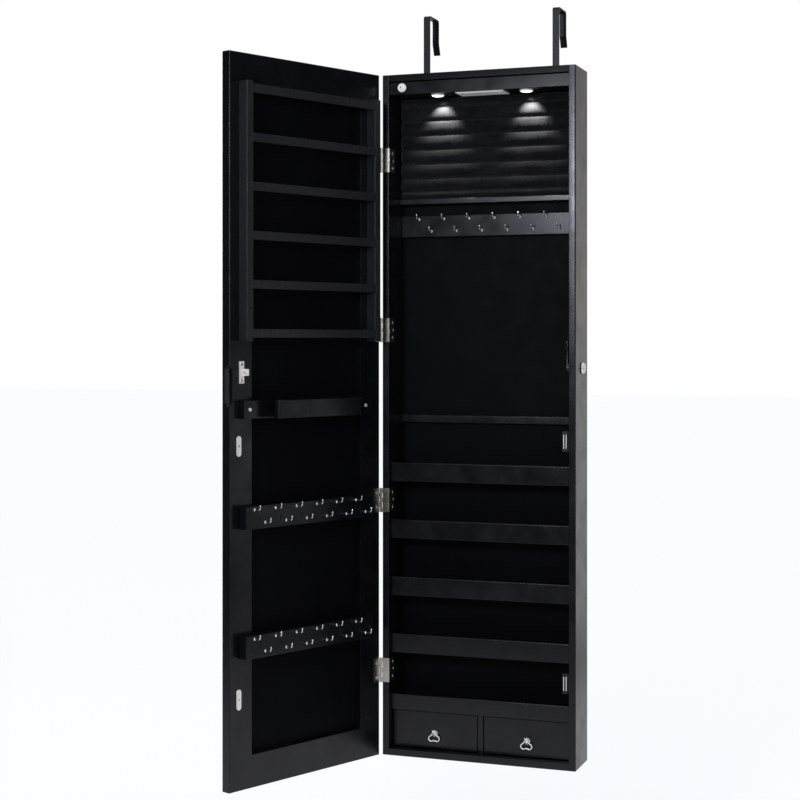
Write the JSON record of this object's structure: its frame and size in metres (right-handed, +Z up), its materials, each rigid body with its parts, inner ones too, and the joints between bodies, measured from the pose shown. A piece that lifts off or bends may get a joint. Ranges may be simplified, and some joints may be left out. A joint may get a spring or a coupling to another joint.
{
  "type": "over-the-door jewelry mirror cabinet",
  "caption": "Tall shallow cabinet that hangs over a room door, with a mirror door, lit ring pad, hook rails, earring rack, lipped shelves and small drawers.",
  "frame": {"origin": "on the line where the room door's top edge meets the cabinet's back plane, midway between the two strap hooks, at the height of their seats", "axes": "+X towards the cabinet's right as seen from in front, +Y from the cabinet's front to the room door behind it, +Z up"},
  "size_m": [0.5136, 0.4641, 1.3165],
  "materials": {
    "board": "black satin-painted fibreboard",
    "inner_board": "black painted hardboard",
    "velvet": "black velvet over foam",
    "mirror": "silvered glass",
    "lens": "frosted lens, lit",
    "white_plastic": "white moulded",
    "catch_plastic": "black moulded",
    "chrome": "bright",
    "nickel": "nickel plated, slightly warm",
    "strap_steel": "black powder coat"
  },
  "bodies": {
    "case": {"side_panel_left": "board", "side_panel_right": "board", "top_panel": "board", "bottom_panel": "board", "back_panel": "inner_board", "light_housing": "board", "battery_box": "white_plastic", "led_lamp_left": "lens", "led_lamp_right": "lens", "switch_bezel": "white_plastic", "ring_cushion": "velvet", "ring_shelf": "board", "necklace_rail": "board", "shelf_1": "board", "shelf_2": "board", "shelf_3": "board", "shelf_4": "board", "shelf_5": "board", "drawer_divider": "board", "lock_barrel": "chrome", "magnetic_catch_upper": "catch_plastic", "magnetic_catch_lower": "catch_plastic", "hinge_case_leaf_1": "nickel", "hinge_case_leaf_2": "nickel", "hinge_case_leaf_3": "nickel", "hinge_case_leaf_4": "nickel", "over_door_hook_left": "strap_steel", "over_door_hook_right": "strap_steel"},
    "door": {"door_frame": "board", "door_panel": "inner_board", "mirror_glass": "mirror", "hinge_door_leaf_1": "nickel", "hinge_door_leaf_2": "nickel", "hinge_door_leaf_3": "nickel", "hinge_door_leaf_4": "nickel", "lock_strike": "nickel", "catch_plate_upper": "nickel", "catch_plate_lower": "nickel", "rack_cheek_hinge_side": "board", "rack_cheek_free_side": "board", "earring_bar_1": "board", "earring_bar_2": "board", "earring_bar_3": "board", "earring_bar_4": "board", "earring_bar_5": "board", "earring_bar_6": "board", "bracelet_mount": "board", "bracelet_bar": "board", "door_rail_upper": "board", "door_rail_lower": "board"},
    "drawer_left": {"drawer_front_left": "board", "drawer_box_left": "inner_board", "pull_base_left": "chrome"},
    "drawer_right": {"drawer_front_right": "board", "drawer_box_right": "inner_board", "pull_base_right": "chrome"},
    "pull_left": {"pull_ring_left": "chrome"},
    "pull_right": {"pull_ring_right": "chrome"},
    "lock": {"lock_plug": "chrome"},
    "switch": {"switch_button": "white_plastic"}
  },
  "joints": [
    {"name": "door_hinge", "type": "hinge", "parent": "case", "child": "door", "pos_m": [-0.1765, -0.0865, -0.714], "axis": [0, 0, -1], "range_deg": [-113, 67]},
    {"name": "drawer_left_slide", "type": "slide", "parent": "case", "child": "drawer_left", "axis": [0, -1, 0], "range_m": [0, 0.045]},
    {"name": "drawer_right_slide", "type": "slide", "parent": "case", "child": "drawer_right", "axis": [0, -1, 0], "range_m": [0, 0.045]},
    {"name": "pull_left_swing", "type": "hinge", "parent": "drawer_left", "child": "pull_left", "pos_m": [-0.084, -0.0685, -1.274], "axis": [-1, 0, 0], "range_deg": [0, 95]},
    {"name": "pull_right_swing", "type": "hinge", "parent": "drawer_right", "child": "pull_right", "pos_m": [0.084, -0.0685, -1.274], "axis": [-1, 0, 0], "range_deg": [0, 95]},
    {"name": "lock_turn", "type": "hinge", "parent": "case", "child": "lock", "pos_m": [0.16, -0.039, -0.63], "axis": [1, 0, 0], "range_deg": [0, 90]},
    {"name": "switch_press", "type": "slide", "parent": "case", "child": "switch", "axis": [0, 1, 0], "range_m": [0, 0.003], "stiffness_N_per_m": 300, "springref_m": -0.001}
  ]
}
